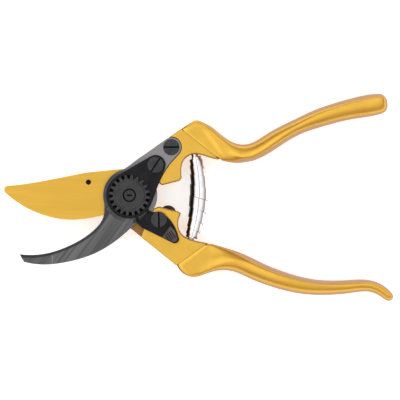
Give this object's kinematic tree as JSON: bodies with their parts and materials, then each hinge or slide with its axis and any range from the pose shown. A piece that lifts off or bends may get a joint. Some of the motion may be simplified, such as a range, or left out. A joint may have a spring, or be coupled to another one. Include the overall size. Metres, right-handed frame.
{
  "type": "pruning shears",
  "caption": "Bypass pruning shears lying open: gold blade and grips, dark hook blade, toothed pivot lock nut, thumb catch and a bowed volute spring between the handles.",
  "frame": {"origin": "on the pivot axis, at the flat underside of the pivot bolt's head, on which the shears rest", "axes": "+Z along the pivot axis, away from the table; +X from the blades to the grips; +Y to the hook side's grip"},
  "size_m": [0.2013, 0.1073, 0.0204],
  "materials": {
    "gold_handle": "satin anodised",
    "gold_grip": "satin, hand polished",
    "gold_blade": "satin, gold coated",
    "grey_steel": "ground, fine diagonal lines",
    "black_steel": "burnished black",
    "spring_steel": "polished",
    "black_rubber": "moulded",
    "bronze": "turned"
  },
  "bodies": {
    "blade_side": {"lower_handle": "gold_handle", "lower_grip": "gold_grip", "cutting_blade": "gold_blade", "blade_dowel": "black_steel", "pivot_bush": "bronze", "rubber_bumper": "black_rubber", "lower_spring_peg": "spring_steel", "catch_screw": "black_steel", "catch_washer": "black_steel", "volute_spring": "spring_steel"},
    "hook_side": {"upper_handle": "gold_handle", "upper_grip": "gold_grip", "upper_spring_peg": "spring_steel", "hook_blade": "grey_steel", "tang_screw": "black_steel", "segment_screw": "black_steel", "toothed_segment": "black_steel", "pivot_nut": "black_steel", "pivot_bolt": "black_steel"},
    "thumb_lock": {"thumb_catch": "black_steel"}
  },
  "joints": [
    {"name": "blade_pivot", "type": "hinge", "parent": "blade_side", "child": "hook_side", "pos_m": [0, 0, 0.01], "axis": [0, 0, -1], "range_deg": [0, 30.5], "stiffness_Nm_per_rad": 2, "springref_deg": -11.46, "deforming": ["volute_spring"]},
    {"name": "catch_turn", "type": "hinge", "parent": "blade_side", "child": "thumb_lock", "pos_m": [0.0151, -0.0125, 0.017], "axis": [0, 0, -1], "range_deg": [0, 12]}
  ]
}
